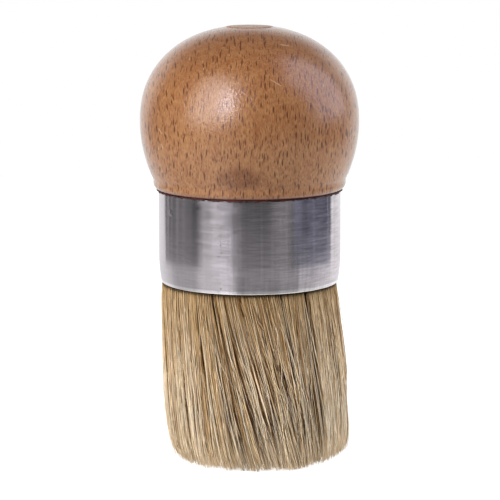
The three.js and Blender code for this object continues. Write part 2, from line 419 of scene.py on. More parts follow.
LACQUER_CRACK = ((-7.2, 101.3), (-6.9, 98.3))  # given like a scratch
DARK_PATCH_PLACE = (-2.5, -27, 80.5)  # of the darker patch over the foot at the front, in millimetres
DARK_PATCH_REACH = (6.5, 5, 3.4)
PITH_PLACE = (-14, 62, 0)  # of the trunk, in millimetres
RING_SPACING = 2.9  # in millimetres
CROWN_SHADE = (34, 4)  # where the darker crown begins and is full, in millimetres under its top
SEAT_SHADE = (0.45, 1.2)  # where the painted shade on the foot is full and where it ends, in millimetres over the ferrule's rim
# Patterns of lenses, in millimetres: the cell that holds one, its half width, depth and height, and the
# share of the cells that do
COARSE_RAYS = ((1.15, 5, 2.4), (0.245, 2.4, 1.2), 0.88)
FINE_RAYS = ((0.7, 3.2, 1.4), (0.135, 1.5, 0.62), 0.85)
NICKS = ((4, 5, 6), (0.16, 1.6, 0.5), 0.35)
WELD_PITS = ((0.9, 0.9, 1.3), (0.3, 0.3, 0.28), 0.9)
# What the darker patch leaves of the wood, and the colours of a crack, a nick and the painted shade on the
# foot over the ferrule
DARK_PATCH_TINT = linear("C2A88A")
CRACK_BROWN = linear("5A3018")
NICK_PALE = linear("E0C2A4")
FOOT_SHADE_BROWN = linear("641C0C")


def beech_material(settings, name, lacquer):
    """Turned European beech under a sprayed clear gloss lacquer.

    Mid brown, with fibre streaks, faint growth rings and dark lens-shaped ray flecks upright in the grain,
    and under the gloss a slight orange peel.
    """
    material, add = new_material(name)
    place = add("TexCoord", out="Object")
    place = add("Mapping", place, Scale=(1 / MM, 1 / MM, 1 / MM))
    wander = add("TexNoise", place, out="Color", Scale=0.12, Detail=1)
    wander = add("VectorMath.SUBTRACT", wander, (0.5, 0.5, 0.5))
    wander = add("VectorMath.MULTIPLY", wander, (1.6, 1.6, 0))
    grain = add("VectorMath.ADD", place, wander)
    # Growth rings about a pith far behind the grip
    level = add("VectorMath.MULTIPLY", grain, (1, 1, 0.05))
    from_pith = add("VectorMath.DISTANCE", level, PITH_PLACE)
    ring = add("Math.MULTIPLY", from_pith, TURN / RING_SPACING)
    ring = add("Math.SINE", ring)
    ring = add("MapRange", ring, -0.4, 1, 0, 1)
    # Fibres about 0.4 mm wide and 1.7 mm long, and streaks of 2 by 30 mm
    fibre_place = add("VectorMath.MULTIPLY", grain, (2.4, 2.4, 0.6))
    fibre = add("TexNoise", fibre_place, Scale=1, Detail=2, Roughness=0.7)
    streak_place = add("VectorMath.MULTIPLY", grain, (0.55, 0.55, 0.035))
    streak = add("TexNoise", streak_place, Scale=1, Detail=2)
    cloud = add("TexNoise", place, Scale=0.045, Detail=2)
    height = add("SeparateXYZ", place, out="Z")
    low, high = (KNOB_HIGH.z / MM - drop for drop in CROWN_SHADE)
    crown = add("MapRange.SMOOTHSTEP", height, low, high, 0, 1)
    shade = add("Math.MULTIPLY", ring, 0.18)
    for part, weight in ((fibre, 3.4), (streak, 0.8), (cloud, 0.5), (crown, 0.25)):
        shade = add("Math.MULTIPLY_ADD", part, weight, shade)
    shade = add("MapRange", shade, 1.74, 3.1, 0, 1)
    wood = add("Mix.RGBA", shade, rgba(settings.beech_light), rgba(settings.beech_dark))
    coarse = lens_flecks(add, grain, *COARSE_RAYS)
    fine = lens_flecks(add, grain, *FINE_RAYS)
    fine = add("Math.MULTIPLY", fine, 0.85)
    flecks = add("Math.MAXIMUM", coarse, fine)
    ray = add("VectorMath.MULTIPLY", wood, tuple(settings.beech_ray))
    wood = add("Mix.RGBA", flecks, wood, ray)
    # A darker patch over the foot at the front, and a few pale nicks
    dark_patch = add("VectorMath.SUBTRACT", place, DARK_PATCH_PLACE)
    dark_patch = add("VectorMath.DIVIDE", dark_patch, DARK_PATCH_REACH)
    dark_patch = add("VectorMath.LENGTH", dark_patch)
    dark_patch = add("Math.MULTIPLY_ADD", fibre, 0.6, dark_patch)
    dark_patch = add("MapRange.SMOOTHSTEP", dark_patch, 0.8, 1.5, 0.7, 0)
    darkened = add("VectorMath.MULTIPLY", wood, DARK_PATCH_TINT)
    wood = add("Mix.RGBA", dark_patch, wood, darkened)
    nicks = lens_flecks(add, place, *NICKS)
    front = add("VectorMath.MULTIPLY", place, (1, 0, 1))
    for start, end in SCRATCHES:
        nicks = add("Math.MAXIMUM", nicks, scratch(add, front, start, end))
    crack = add("Math.MULTIPLY", scratch(add, front, *LACQUER_CRACK), 0.8)
    flecks = add("Math.MAXIMUM", flecks, crack)
    wood = add("Mix.RGBA", crack, wood, rgba(CRACK_BROWN))
    behind = add("SeparateXYZ", place, out="Y")
    behind = add("MapRange", behind, -2, 2, 0.36, 0)
    nicks = add("Math.MULTIPLY", nicks, behind)
    wood = add("Mix.RGBA", nicks, wood, rgba(NICK_PALE))
    # Painted shade: the foot's lower edge darkens towards the ferrule's rim
    low, high = (RIM_HEIGHT / MM + rise for rise in SEAT_SHADE)
    seat = add("MapRange.SMOOTHSTEP", height, low, high, 0.95, 0)
    wood = add("Mix.RGBA", seat, wood, rgba(FOOT_SHADE_BROWN))
    # Orange peel about 0.7 mm across
    peel = add("TexNoise", place, Scale=1.4, Detail=2, Roughness=0.65)
    relief = add("Math.MULTIPLY_ADD", fibre, 0.25, peel)
    relief = add("Math.MULTIPLY_ADD", flecks, -0.15, relief)
    under = add("Bump", Strength=0.35, Distance=0.1 * MM, Height=relief)
    over = add("Bump", Strength=1, Distance=0.09 * MM, Height=relief)
    shader = add(
        "BsdfPrincipled",
        Roughness=0.5,
        IOR=1.5,
        Coat_Weight=lacquer,
        Coat_Roughness=0.05,
        Coat_IOR=1.5,
        Base_Color=wood,
        Normal=under,
        Coat_Normal=over,
    )
    add("OutputMaterial", Surface=shader)
    return material


LIP_HIGHLIGHT_SPAN = (0.8 * MM, 1.3 * MM)  # where the painted highlight on the lip fades out, over the mouth


def steel_material(settings):
    """Stainless strip, polished with a belt round the tube: its fine lines smear light upright."""
    material, add = new_material("ferrule_steel")
    place = add("TexCoord", out="Object")
    # Belt lines drawn 0.6 mm apart, because real ones are too fine to show, and draw marks 1 mm apart
    brushed = add("Mapping", place, Scale=(160, 160, 1800))
    lines = add("TexNoise", brushed, Scale=1, Detail=3, Roughness=0.6)
    drawn = add("Mapping", place, Scale=(1000, 1000, 18))
    drawn = add("TexNoise", drawn, Scale=1, Detail=2)
    patches = add("Mapping", place, Scale=(150, 150, 420))
    patches = add("TexNoise", patches, Scale=1, Detail=2)
    dull = add("Math.MULTIPLY_ADD", lines, 0.5, patches)
    rough = add("MapRange", dull, 0.5, 1, 0.12, 0.16)
    marks = add("Math.MULTIPLY_ADD", drawn, 0.5, lines)
    flat = add("SeparateXYZ", place, out=None)
    turn = turn_degrees(add, flat.outputs["X"], flat.outputs["Y"])
    # The belt has bitten more on one side than on the other
    bite = window(add, turn, -12, 80, 14)
    bite = add("MapRange", bite, 0, 1, 0.28, 0.85)
    marks = add("Math.SUBTRACT", marks, 0.76)
    tint = add("Math.MULTIPLY_ADD", marks, bite, 0.985)
    # Pits along the weld
    place_mm = add("VectorMath.SCALE", place, 1 / MM)
    weld = float(np.degrees(settings.seam_bearing)) - 270
    pits = lens_flecks(add, place_mm, *WELD_PITS)
    near_weld = window(add, turn, weld - 1.6, weld + 1.6, 0.8)
    pits = add("Math.MULTIPLY", pits, near_weld)
    pits = add("MapRange", pits, 0, 1, 1, 0.35)
    tint = add("Math.MULTIPLY", tint, pits)
    # Painted highlight: the steel of the lip is made lighter
    low, high = (MOUTH_HEIGHT + rise for rise in LIP_HIGHLIGHT_SPAN)
    lip_highlight = add("MapRange", flat.outputs["Z"], low, high, 1, 0)
    steel = add("Mix.RGBA", lip_highlight, rgba(settings.steel), rgba(linear("FAF7FA")))
    steel = add("VectorMath.SCALE", steel, tint)
    relief = add("Bump", Strength=0.3, Distance=0.004 * MM, Height=lines)
    round_the_tube = add("Tangent", direction_type="RADIAL", axis="Z")
    sway = add("MapRange", lines, 0.3, 0.7, -0.009, 0.009)
    sideways = add("VectorMath.SCALE", round_the_tube, sway)
    relief = add("VectorMath.ADD", relief, sideways)
    relief = add("VectorMath.NORMALIZE", relief)
    shader = add(
        "BsdfPrincipled",
        Metallic=1,
        Anisotropic=0.75,
        Anisotropic_Rotation=0.25,
        Base_Color=steel,
        Roughness=rough,
        Normal=relief,
        Tangent=round_the_tube,
    )
    add("OutputMaterial", Surface=shader)
    return material


def pin_material():
    """Bright drawn wire with a pressed head, a little duller than the strip."""
    material, add = new_material("pin_steel")
    place = add("TexCoord", out="Object")
    marks = add("TexNoise", place, Scale=2600, Detail=3)
    rough = add("MapRange", marks, 0.3, 0.7, 0.22, 0.42)
    tone = ramp_colours(add("ValToRGB", marks, out=None), (0.3, "8E8B8C"), (0.7, "C6C2C4"))
    shader = add("BsdfPrincipled", Metallic=1, Base_Color=tone, Roughness=rough)
    add("OutputMaterial", Surface=shader)
    return material


def resin_material():
    """Cast amber epoxy, glossy and a little cloudy with trapped air."""
    material, add = new_material("cast_resin")
    place = add("TexCoord", out="Object")
    cloud = add("TexNoise", place, Scale=240, Detail=4)
    tone = ramp_colours(add("ValToRGB", cloud, out=None), (0.35, "8A5E2A"), (0.7, "C79A55"))
    shader = add("BsdfPrincipled", Roughness=0.28, IOR=1.55, Base_Color=tone)
    add("OutputMaterial", Surface=shader)
    return material


# Colours of the hairs by their tone: dark, brown, straw, pale and grey. Then what a hair keeps of its colour
# from root to tip: dark just below the mouth as painted shade under the ferrule's lip, then darker near the
# root.
HAIR_TONES = (
    (0, "2A1808"), (0.1, "603C1C"), (0.3, "AC8A5E"), (0.5, "D8BC95"),
    (0.7, "F4E1C4"), (0.82, "FFF6EA"), (0.9, "A2947E"), (1, "D8CEBE"),
)
SHADED_ROOT_TO_TIP = (
    (0, "241A10"), (0.021, "241A10"), (0.027, "B0A48E"), (0.045, "D6C9B4"),
    (0.3, "EAE0D0"), (0.5, "FFF8EA"), (1, "FFFCF2"),
)


def bristle_material():
    """Natural hog bristle, from dark brown through straw to grey, paler towards the split tips.

    Across the UV map lies a hair's tone, and up it the way from root to tip.
    """
    material, add = new_material("hog_bristle")
    uv = add("UVMap", uv_map=BAKE_MAP)
    uv = add("SeparateXYZ", uv, out=None)
    tone, up = uv.outputs["X"], uv.outputs["Y"]
    # Hairs are more alike at the roots than at the tips, but for those darkened as painted shade in the gaps,
    # and the grey ones
    unlike = add("MapRange", up, 0, 0.7, 0.6, 1.45)
    off = add("Math.SUBTRACT", tone, 0.5)
    spread = add("Math.MULTIPLY_ADD", off, unlike, 0.53)
    spread = add("Math.MINIMUM", spread, 0.84)
    plain = window(add, tone, 0.105, 0.86, 0.002)
    tone = add("Mix.FLOAT", plain, tone, spread)
    tones = ramp_colours(add("ValToRGB", tone, out=None), *HAIR_TONES)
    # Painted shade: the hair's first stretch below the mouth is dark, under the ferrule's lip
    along = ramp_colours(add("ValToRGB", up, out=None), *SHADED_ROOT_TO_TIP)
    hair = add("Mix.RGBA", 1, tones, along, blend_type="MULTIPLY")
    split = add("MapRange.SMOOTHSTEP", up, 0.75, 1, 0, 0.5)
    hair = add("Mix.RGBA", split, hair, rgba(linear("FFE6C2")))
    place = add("CombineXYZ", uv.outputs["X"], up)
    place = add("VectorMath.MULTIPLY", place, (900, 14, 1))
    mottle = add("TexNoise", place, Scale=1, Detail=2)
    mottle = add("MapRange", mottle, 0.3, 0.7, 0.58, 1.34)
    hair = add("VectorMath.SCALE", hair, mottle)
    shader = add(
        "BsdfPrincipled", Roughness=0.38, IOR=1.55, Specular_Tint=rgba(linear("FFE0B8")), Base_Color=hair
    )
    add("OutputMaterial", Surface=shader)
    return material


# The grip


CROWN_SINK = 0.25 * MM  # of the crown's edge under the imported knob's top
PLUG_SINK = 0.4 * MM  # of the plug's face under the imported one
BORE_STEP = 0.1 * MM  # from the crown's edge down to the bore's first ring


def crown_height_at(radius, girth, roundness):
    """Height of the crown over the girth: a superellipse."""
    rise = KNOB_HIGH.z - CROWN_SINK - girth
    bore = (PLUG_RADIUS + CLEARANCE) / KNOB_RADIUS
    full = rise / (1 - bore**roundness) ** (1 / roundness)
    return full * (1 - (radius / KNOB_RADIUS) ** roundness) ** (1 / roundness)


def knob_profile(settings):
    """The grip's outline: spigot, rounded foot, bowl, girth, crown and the plug's bore.

    The foot is a quarter circle, the bowl a parabola that is upright at the girth, the crown a superellipse.
    """
    foot = settings.foot_radius
    rounding = settings.foot_rounding
    foot_height = RIM_HEIGHT + settings.seat_gap
    band_top = foot_height + rounding + settings.foot_band
    girth = foot_height + settings.girth_height
    spigot = settings.spigot_radius
    chamfer = settings.spigot_chamfer
    bore = PLUG_RADIUS + settings.plug_gap
    bore_floor = PLUG_LOW.z - settings.seat_gap
    walk = np.linspace(0, 1, 40)
    bowl_radius = KNOB_RADIUS - (KNOB_RADIUS - foot) * (1 - walk) ** 2
    bowl = np.stack([bowl_radius, band_top + (girth - band_top) * walk], 1)
    edge = np.arccos((bore / KNOB_RADIUS) ** (settings.crown_roundness / 2))
    turn = np.linspace(0, edge, 73)[1:]
    radius = KNOB_RADIUS * np.cos(turn) ** (2 / settings.crown_roundness)
    crown = np.stack([radius, girth + crown_height_at(radius, girth, settings.crown_roundness)], 1)
    return np.concatenate([
        [(0, KNOB_LOW.z), (spigot - chamfer, KNOB_LOW.z)],
        line((spigot, KNOB_LOW.z + chamfer), (spigot, foot_height), 6),
        line((spigot, foot_height), (foot - rounding, foot_height), 3),
        arc((foot - rounding, foot_height + rounding), rounding, rounding, -np.pi / 2, 0, 12),
        bowl,
        crown,
        line((bore, crown[-1, 1] - BORE_STEP), (bore, bore_floor), 6),
        [(bore, bore_floor), (0, bore_floor)],
    ])


class BRUSH_OT_knob(bpy.types.Operator):
    """Turns the beech grip and its plug"""

    bl_idname = "brush.add_knob"
    bl_label = "Grip and plug"

    def execute(self, context):
        settings = context.scene.brush_knob
        material = beech_material(settings, "lacquered_beech", 1)
        knob = add_turned("grip", knob_profile(settings), settings.facets)
        finish_piece(knob, material, "lacquered_beech", "handle_knob")
        chamfer = 0.2 * MM
        plug_face = PLUG_HIGH.z - PLUG_SINK
        plug_profile = [
            (0, PLUG_LOW.z),
            (PLUG_RADIUS - chamfer, PLUG_LOW.z),
            *arc((PLUG_RADIUS - chamfer, plug_face - chamfer), chamfer, chamfer, 0, np.pi / 2, 5),
            (PLUG_RADIUS / 2, plug_face),
            (0, plug_face),
        ]
        plug = add_turned("crown_plug", plug_profile, 96)
        finish_piece(plug, beech_material(settings, "beech_end_grain", 0.3), "beech_end_grain", "top_plug")
        return {"FINISHED"}


# The ferrule


def ferrule_profile(settings):
    """The tube's outline, which closes on itself: bead, outer wall, rim and inner wall.

    Over the bead the wall curves in as a parabola. The bead is a half circle that turns inwards.
    """
    wall, rounding, bead = settings.wall, settings.rim_rounding, settings.bead
    bore = FERRULE_RADIUS - wall
    bead_radius = FERRULE_RADIUS - settings.sweep_in - bead
    bead_top = MOUTH_HEIGHT + bead
    up = np.linspace(0, 1, 25)
    sweep = np.stack([
        FERRULE_RADIUS - settings.sweep_in * (1 - up) ** 2, bead_top + (settings.sweep_height - bead) * up
    ], 1)
    outer_corner = (FERRULE_RADIUS - rounding, RIM_HEIGHT - rounding)
    inner_corner = (bore + rounding, RIM_HEIGHT - rounding)
    near_rim = RIM_HEIGHT - 2 * rounding
    return np.concatenate([
        arc((bead_radius, bead_top), bead, bead, -np.pi / 2, -0.15, 12),
        sweep,
        line(sweep[-1], (FERRULE_RADIUS, near_rim), 30)[1:],
        [(FERRULE_RADIUS, near_rim)],
        arc(outer_corner, rounding, rounding, 0, np.pi / 2, 4),
        arc(inner_corner, rounding, rounding, np.pi / 2, np.pi, 4),
        line((bore, near_rim), (bore, bead_top + settings.sweep_height), 12),
        line((bore, bead_top + settings.sweep_height), (bead_radius, bead_top), 8),
        [(bead_radius, bead_top), (bead_radius - bead / 2, MOUTH_HEIGHT + bead / 2)],
        [(bead_radius, MOUTH_HEIGHT)],
    ])


def ferrule_wall(settings):
    """The change that makes the turned tube a real one: a weld that stands proud down its seam, and dents."""

    def reshape(grid, bearings):
        rng = np.random.default_rng(11)
        radius = np.hypot(grid[..., 0], grid[..., 1])
        height = grid[..., 2] / MM
        outside = np.clip((radius - (FERRULE_RADIUS - 2 * settings.wall)) / settings.wall, 0, 1)
        off_seam = (bearings - settings.seam_bearing + np.pi) % TURN - np.pi
        wobble = 0.5 * np.sin(height * 1.9) + 0.5 * np.sin(height * 4.3 + 1)
        across = off_seam * FERRULE_RADIUS / settings.seam_width - 0.35 * wobble
        weld = settings.seam_rise * np.exp(-(across**2)) * (0.8 + 0.2 * np.sin(height * 7.1))
        dents = sum(
            rng.normal() / number
            * np.cos(number * bearings + rng.uniform(0, TURN) + height * rng.normal(0, 0.06))
            for number in range(5, 15)
        )
        change = (weld + settings.wall_ripple * dents) * outside
        return grid * np.stack([1 + change / radius, 1 + change / radius, np.ones_like(radius)], -1)

    return reshape


SEAM_STRIP = 2 * MM  # that is finely divided on either side of the weld


class BRUSH_OT_ferrule(bpy.types.Operator):
    """Rolls the steel ferrule, drives its pins and runs glue into its joint"""

    bl_idname = "brush.add_ferrule"
    bl_label = "Ferrule and pins"

    def execute(self, context):
        settings = context.scene.brush_ferrule
        coarse = np.linspace(0, TURN, 300, endpoint=False)
        near_seam = settings.seam_bearing + np.linspace(-1, 1, 41) * SEAM_STRIP / FERRULE_RADIUS
        away = abs(coarse - settings.seam_bearing) > 1.1 * SEAM_STRIP / FERRULE_RADIUS
        bearings = np.unique(np.concatenate([coarse[away], near_seam]))
        profile, reshape = ferrule_profile(settings), ferrule_wall(settings)
        ferrule = add_turned("ferrule_tube", profile, bearings=bearings, reshape=reshape, sharp_degrees=50)
        finish_piece(ferrule, steel_material(settings), "ferrule_steel", "ferrule")
        wire = pin_material()
        for number in (1, 2):
            add_pin(settings, number, wire)
        add_glue_line()
        return {"FINISHED"}


def glue_material():
    """Brown glue squeezed out of the joint, dried dull."""
    material, add = new_material("joint_glue")
    place = add("TexCoord", out="Object")
    cloud = add("TexNoise", place, Scale=900, Detail=2)
    tone = ramp_colours(add("ValToRGB", cloud, out=None), (0.35, "1C0804"), (0.65, "441608"))
    shader = add("BsdfPrincipled", Roughness=0.6, Base_Color=tone)
    add("OutputMaterial", Surface=shader)
    return material


GLUE_HEIGHT = RIM_HEIGHT + 0.12 * MM
GLUE_REACH, GLUE_RISE = 0.32 * MM, 0.3 * MM
GLUE_WAVES = (5, 14, 27, 44, 63, 88, 107, 131)  # round the joint
GLUE_SWELL = 0.22


def add_glue_line():
    """An uneven bead of glue in the joint under the grip's foot, an ellipse turned round the axis."""

    def reshape(grid, bearings):
        rng = np.random.default_rng(5)
        run = sum(
            rng.normal() * np.cos(number * bearings + rng.uniform(0, TURN))
            for number in GLUE_WAVES
        )
        radius = np.hypot(grid[..., 0], grid[..., 1])
        swell = 1 + GLUE_SWELL * run
        new_radius = FERRULE_RADIUS + (radius - FERRULE_RADIUS) * swell
        height = GLUE_HEIGHT + (grid[..., 2] - GLUE_HEIGHT) * swell
        return np.stack([grid[..., 0] / radius * new_radius, grid[..., 1] / radius * new_radius, height], -1)

    profile = arc((FERRULE_RADIUS, GLUE_HEIGHT), GLUE_REACH, GLUE_RISE, 0, TURN, 8)
    glue = add_turned("glue_line", profile, 480, reshape=reshape, sharp_degrees=80)
    finish_piece(glue, glue_material(), "cast_resin")


PIN_LENGTH = 7 * MM
PIN_SHANK = 0.5 * MM
PIN_SEAT = 0.03 * MM  # of the head over the tube


def add_pin(settings, number, material):
    """A pin with a domed head and a point, turned about its own axis and then laid along its bearing."""
    low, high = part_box(f"ferrule_pin_{number}")
    middle = (low + high) / 2
    bearing = np.arctan2(middle.y, middle.x)
    seat = FERRULE_RADIUS + PIN_SEAT
    head, rise = settings.pin_head_radius, settings.pin_head_height
    shank = PIN_SHANK
    tip = FERRULE_RADIUS - PIN_LENGTH
    profile = np.concatenate([
        [(0, tip), (shank, tip + 2 * shank)],
        line((shank, tip + 2.2 * shank), (shank, seat), 4),
        [(shank, seat)],
        arc((0, seat), head, rise, 0, np.pi / 2, 10)[:-1],
        [(0, seat + rise)],
    ])
    pin = add_turned(f"ferrule_pin_head_{number}", profile, 40)
    place = Matrix.Rotation(bearing, 4, "Z") @ Matrix.Rotation(np.pi / 2, 4, "Y")
    pin.data.transform(Matrix.Translation((0, 0, middle.z)) @ place)
    finish_piece(pin, material, "pin_steel", f"ferrule_pin_{number}")


# The tuft

FRONT = 1.5 * np.pi  # bearing of the side towards the camera
ROLL_IN = 1.1 * MM  # of the mouth
HAIR_GAP = 0.25 * MM
MOUTH_RADIUS = FERRULE_RADIUS - ROLL_IN - HAIR_GAP
GAP_DEPTH = 5 * MM  # of the gaps between locks, from the tuft's skin inwards
CORE_RADIUS = 4 * MM  # inside which a push turns hairs no further
# Depth and width of the locks of hair
SKIN_LOCKS = (1 * MM, 1.3 * MM)
CORE_LOCKS = (2 * MM, 2.5 * MM)
STRAY_LOCKS = (1.1 * MM, 1.5 * MM)
# Shares of a hair's length below the mouth at its stations. The first two lie inside the ferrule.
STATION_SHARES = np.array([-0.17, -0.02, 0.015, *np.linspace(0.08, 1, 14)])
TAPER_SHARES = np.interp(STATION_SHARES, [0, 0.5, 0.9, 1], [1, 0.9, 0.7, 0.4])
# Gaps between locks: bearing from the front in degrees, half width in millimetres
GAPS = (
    (-39, 0.08), (-25, 0.24), (-17, 0.2), (-6, 0.1), (5, 0.08), (20, 0.24), (25, 0.14), (39, 0.7), (56, 0.06),
    (76, 0.06), (90, 0.08), (103, 0.3), (117, 0.1), (130, 0.16), (146, 0.08), (158, 0.26), (171, 0.12),
    (187, 0.08), (199, 0.34), (214, 0.12), (229, 0.2), (243, 0.08), (257, 0.14), (268, 0.16), (284, 0.03),
    (306, 0.02),
)
# Where the tips have been pushed round the tuft: millimetres, and the middle and width of the bell in degrees
PUSH_ALL = 2.2
PUSHES = ((8, -6, 27), (6, 168, 34), (2.5, 95, 22), (3.5, -110, 26))


def wrapped(turn):
    """An angle brought to between -pi and pi."""
    return (turn + np.pi) % TURN - np.pi


def bell(turn, centre_degrees, width_degrees):
    """A bell-shaped hump round the tuft."""
    return np.exp(-((wrapped(turn - np.radians(centre_degrees)) / np.radians(width_degrees)) ** 2))


def sideways_flow(turn):
    """How far the tips have been pushed round the tuft, in millimetres, by the bearing from the front."""
    return PUSH_ALL + sum(push * bell(turn, middle, width) for push, middle, width in PUSHES)


def ring_and_sector(radius, bearing, depth, width):
    """The lock that each hair belongs to, and its place: rings from the skin inwards, cut in sectors."""
    ring = np.floor((MOUTH_RADIUS - radius) / depth)
    middle = np.maximum(MOUTH_RADIUS - (ring + 0.5) * depth, depth)
    sectors = np.maximum(np.round(TURN * middle / width), 3)
    start = ring * GOLDEN_SHARE
    sector = np.floor((bearing / TURN + start) % 1 * sectors)
    lock_bearing = ((sector + 0.5) / sectors - start) * TURN
    _, number = np.unique(ring * 10000 + sector, return_inverse=True)
    return number, middle, lock_bearing


def hair_roots(rng, hairs, inner_radius, outer_radius):
    """Places at the mouth, on a sunflower spiral: even density between two radii, with a little jitter."""
    order = (np.arange(hairs) + 0.5) / hairs
    radius = np.sqrt(inner_radius**2 + (outer_radius**2 - inner_radius**2) * order)
    bearing = np.arange(hairs) * TURN * GOLDEN_SHARE
    spacing = np.sqrt(np.pi * (outer_radius**2 - inner_radius**2) / hairs)
    radius = np.clip(radius + rng.normal(0, 0.3, hairs) * spacing, 0.2 * MM, outer_radius)
    return radius, (bearing + rng.normal(0, 0.3, hairs) * spacing / radius) % TURN


def hair_paths(rng, settings, radius, bearing, lock_depth, lock_width, stray=0):
    """Centre lines of hairs from their places at the mouth: hairs by stations by three.

    All follow one flow, which swells, leans and is pushed round the tuft. Locks drift apart and pinch
    together towards the tips, and each hair wanders a little by itself. Stray hairs wander by as much as
    stray says, and lift off the tuft.
    """
    hairs = len(radius)
    down = STATION_SHARES[None, :]
    free = np.clip(down, 0, 1)
    turn = wrapped(bearing - FRONT)[:, None]
    lock, lock_radius, lock_bearing = ring_and_sector(radius, bearing, lock_depth, lock_width)
    locks = lock.max() + 1
    lock_radius, lock_bearing = lock_radius[:, None], lock_bearing[:, None]
    side_drift = rng.normal(0, 0.35, locks)[lock][:, None] * MM
    depth_drift = rng.normal(0, 0.4, locks)[lock][:, None] * MM
    pinch = rng.uniform(0.15, 0.6, locks)[lock][:, None] * free**1.4
    lock_length = rng.normal(0, 0.45, locks)[lock] * MM
    # From the mouth, each hair is drawn towards its lock's middle
    at_radius = radius[:, None] * (1 - pinch) + lock_radius * pinch
    gap = wrapped(lock_bearing - bearing[:, None])
    at_turn = turn + gap * pinch
    # The common flow
    east_share = np.sin(turn)
    swell = settings.belly * (1 - 0.2 * east_share) * free ** (0.5 + 0.2 * east_share) * (1 - free**10)
    depth_share = at_radius / MOUTH_RADIUS
    new_radius = at_radius * (1 + swell / MOUTH_RADIUS) + depth_drift * free**1.3
    push = sideways_flow(turn) * MM * depth_share**1.6 * free**1.12
    push = push + side_drift * free**1.3
    # Gaps that open between locks in the skin
    skin = np.clip(1 - (MOUTH_RADIUS - radius[:, None]) / GAP_DEPTH, 0, 1)
    opening = np.sin(np.pi * np.clip(free * 0.85 + 0.12, 0, 1)) ** 0.6
    for degrees, half_width in GAPS:
        off = wrapped(turn - np.radians(degrees)) * MOUTH_RADIUS / MM
        push = push + np.sign(off) * half_width * MM * np.exp(-np.abs(off) / 1.2) * skin * opening
    # Each hair's own wandering: a slant, a long wave and a short crimp
    phase = rng.uniform(0, TURN, (2, hairs, 1))
    waves = rng.uniform(0.6, 2.2, (hairs, 1))
    crimps = rng.uniform(3, 5.5, (hairs, 1))
    sway = np.sin(phase[0] + waves * TURN * free) - np.sin(phase[0])
    crimp = np.sin(phase[1] + crimps * TURN * free) * np.minimum(free * 3, 1)
    unruly = np.where(rng.random((hairs, 1)) < 0.18, 2.4, 0.6)
    in_gap = gap_nearness(bearing, 1.4)[0][:, None] * skin
    unruly = unruly * (1 - 0.8 * in_gap)
    slant, wave = rng.normal(0, 0.9, (hairs, 1)), rng.normal(0, 0.2, (hairs, 1))
    push = push + (slant * free + wave * sway) * unruly * MM
    push = push + rng.normal(0, 0.07, (hairs, 1)) * crimp * unruly * MM
    slant, wave = rng.normal(0, 0.3, (hairs, 1)), rng.normal(0, 0.12, (hairs, 1))
    new_radius = new_radius + (slant * free + wave * sway) * MM
    new_radius = new_radius + 0.2 * MM * in_gap * free**0.5
    new_radius = new_radius + rng.normal(0, 0.05, (hairs, 1)) * crimp * unruly * MM
    if stray:
        push = push + rng.normal(0, stray, (hairs, 1)) * free**1.5
        new_radius = new_radius + rng.uniform(0, 0.45, (hairs, 1)) * stray * free**0.8
    new_turn = at_turn + push / np.maximum(new_radius, CORE_RADIUS)
    # Lengths: the cut is flat, with a rounded rim and ragged tips
    rim = (0.1 + 1.7 * np.sin(turn[:, 0] + np.radians(22)) ** 2) * MM * (radius / MOUTH_RADIUS) ** 8
    short = np.where(rng.random(hairs) < 0.25, rng.uniform(0.3, 1, hairs) ** 2.5 * 20, 0)
    ragged = (np.abs(rng.normal(0, 0.75, hairs)) + short) * MM
    tip = np.clip(rim + lock_length * 0.8 + ragged, 0.02 * MM, None)
    height = MOUTH_HEIGHT - down * (MOUTH_HEIGHT - tip[:, None])
    east = new_radius * np.sin(new_turn) + settings.lean * free
    north = -new_radius * np.cos(new_turn)
    return np.stack([east, north, height], -1), lock


def gap_nearness(bearing, reach):
    """How near a hair's place at the mouth is to a gap, from 0 to 1, and that gap's half width.

    reach multiplies the distance over which a gap is felt, which grows with its width.
    """
    near, width = np.zeros(len(bearing)), np.zeros(len(bearing))
    for degrees, half_width in GAPS:
        off = wrapped(bearing - FRONT - np.radians(degrees)) * MOUTH_RADIUS / MM
        this = np.exp(-((off / (reach * (0.14 + 1.3 * half_width))) ** 2))
        width = np.where(this > near, half_width, width)
        near = np.maximum(near, this)
    return near, width


def hair_tones(rng, lock, bearing):
    """A tone from 0 to 1 for each hair: dark, brown, straw, pale and grey, in locks of like hairs, with
    painted shade beside the gaps and painted light on the tuft's sides.
    """
    locks = lock.max() + 1
    lock_tone = rng.normal(0.56, 0.06, locks)[lock]
    side = np.sin(bearing - FRONT)
    # Painted light: hairs on the sides of the tuft, most on the right, are made paler
    paler = 0.05 * side**2 + 0.15 * np.clip(side, 0, 1)
    spread = 0.23 * (1 - 0.6 * np.clip(-side, 0, 1))
    tone = np.clip(lock_tone - 0.03 + paler + rng.normal(0, 1, len(lock)) * spread, 0.13, 0.82)
    # Painted shade: hairs beside the gaps between locks are made darker
    near, width = gap_nearness(bearing, 1)
    tone = np.clip(tone - (0.35 + 1.3 * width) * near, 0.02, 1)
    grey_lock = (rng.random(locks) < 0.05)[lock]
    grey = rng.random(len(lock)) < np.where(grey_lock, 0.3, 0.012)
    tone = np.where(grey, rng.uniform(0.88, 0.99, len(lock)), tone)
    dark = rng.random(len(lock)) < 0.11 * (1 - 0.8 * np.clip(-side, 0, 1))
    return np.where(dark, rng.uniform(0.11, 0.18, len(lock)), tone)


